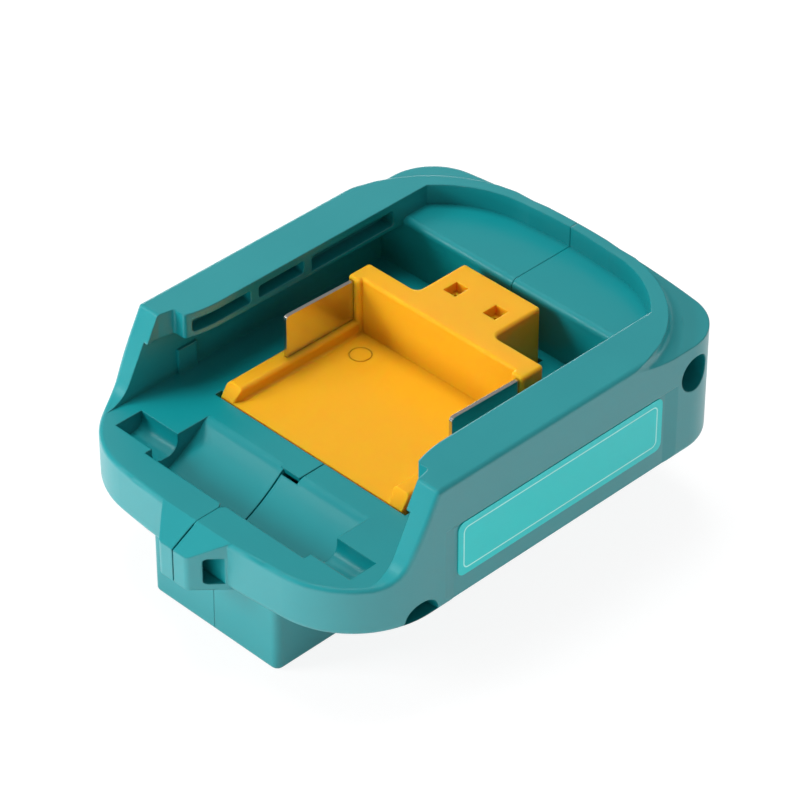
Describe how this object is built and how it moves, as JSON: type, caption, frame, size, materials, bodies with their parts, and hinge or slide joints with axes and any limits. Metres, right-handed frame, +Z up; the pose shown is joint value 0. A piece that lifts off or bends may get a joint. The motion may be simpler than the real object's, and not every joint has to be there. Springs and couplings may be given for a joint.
{
  "type": "usb battery adapter",
  "caption": "Clamshell adapter that slides onto a power-tool battery by two lipped rails and feeds two USB sockets in a block beneath it.",
  "frame": {"origin": "middle of the bounding box in plan, at the level of the socket block's lowest face", "axes": "+Z up with the battery side uppermost, +Y along the slide towards the D-shaped rear rim, -Y towards the lanyard loop, +X to the side with the rating label"},
  "size_m": [0.0794, 0.1084, 0.0447],
  "materials": {
    "teal": "moulded teal ABS, fine satin",
    "amber": "moulded amber nylon, satin",
    "steel": "bright plated sheet steel",
    "label": "printed polyester film",
    "board_green": "solder-masked glass-fibre board",
    "black_plastic": "moulded black plastic",
    "white_plastic": "moulded white plastic",
    "lens": "milky polycarbonate",
    "gold": "gold-flashed contact",
    "ferrite": "sintered ferrite",
    "can": "aluminium can",
    "screw": "black-oxide steel",
    "red_wire": "red PVC insulation",
    "black_wire": "black PVC insulation"
  },
  "bodies": {
    "casing": {"housing_left": "teal", "housing_right": "teal", "terminal_holder": "amber", "blade_left": "steel", "blade_right": "steel", "circuit_board": "board_green", "usb_shell_left": "steel", "usb_insulator_left": "white_plastic", "usb_contact_left_1": "gold", "usb_contact_left_2": "gold", "usb_contact_left_3": "gold", "usb_contact_left_4": "gold", "usb_shell_right": "steel", "usb_insulator_right": "white_plastic", "usb_contact_right_1": "gold", "usb_contact_right_2": "gold", "usb_contact_right_3": "gold", "usb_contact_right_4": "gold", "inductor": "ferrite", "input_capacitor": "can", "output_capacitor": "can", "regulator_chip": "black_plastic", "tact_switch": "black_plastic", "indicator_lens": "lens", "indicator_led": "white_plastic", "rating_label": "label", "rear_screw": "screw", "front_screw": "screw", "black_lead": "black_wire", "red_lead": "red_wire"},
    "button": {"power_button": "black_plastic"},
    "cover": {"port_cover": "teal"}
  },
  "joints": [
    {"name": "button_press", "type": "slide", "parent": "casing", "child": "button", "axis": [0, -1, 0], "range_m": [0, 0.0005], "stiffness_N_per_m": 400, "springref_m": -0.0005},
    {"name": "cover_hinge", "type": "hinge", "parent": "casing", "child": "cover", "pos_m": [0, -0.01545, 0.0032], "axis": [-1, 0, 0], "range_deg": [0, 90]}
  ]
}
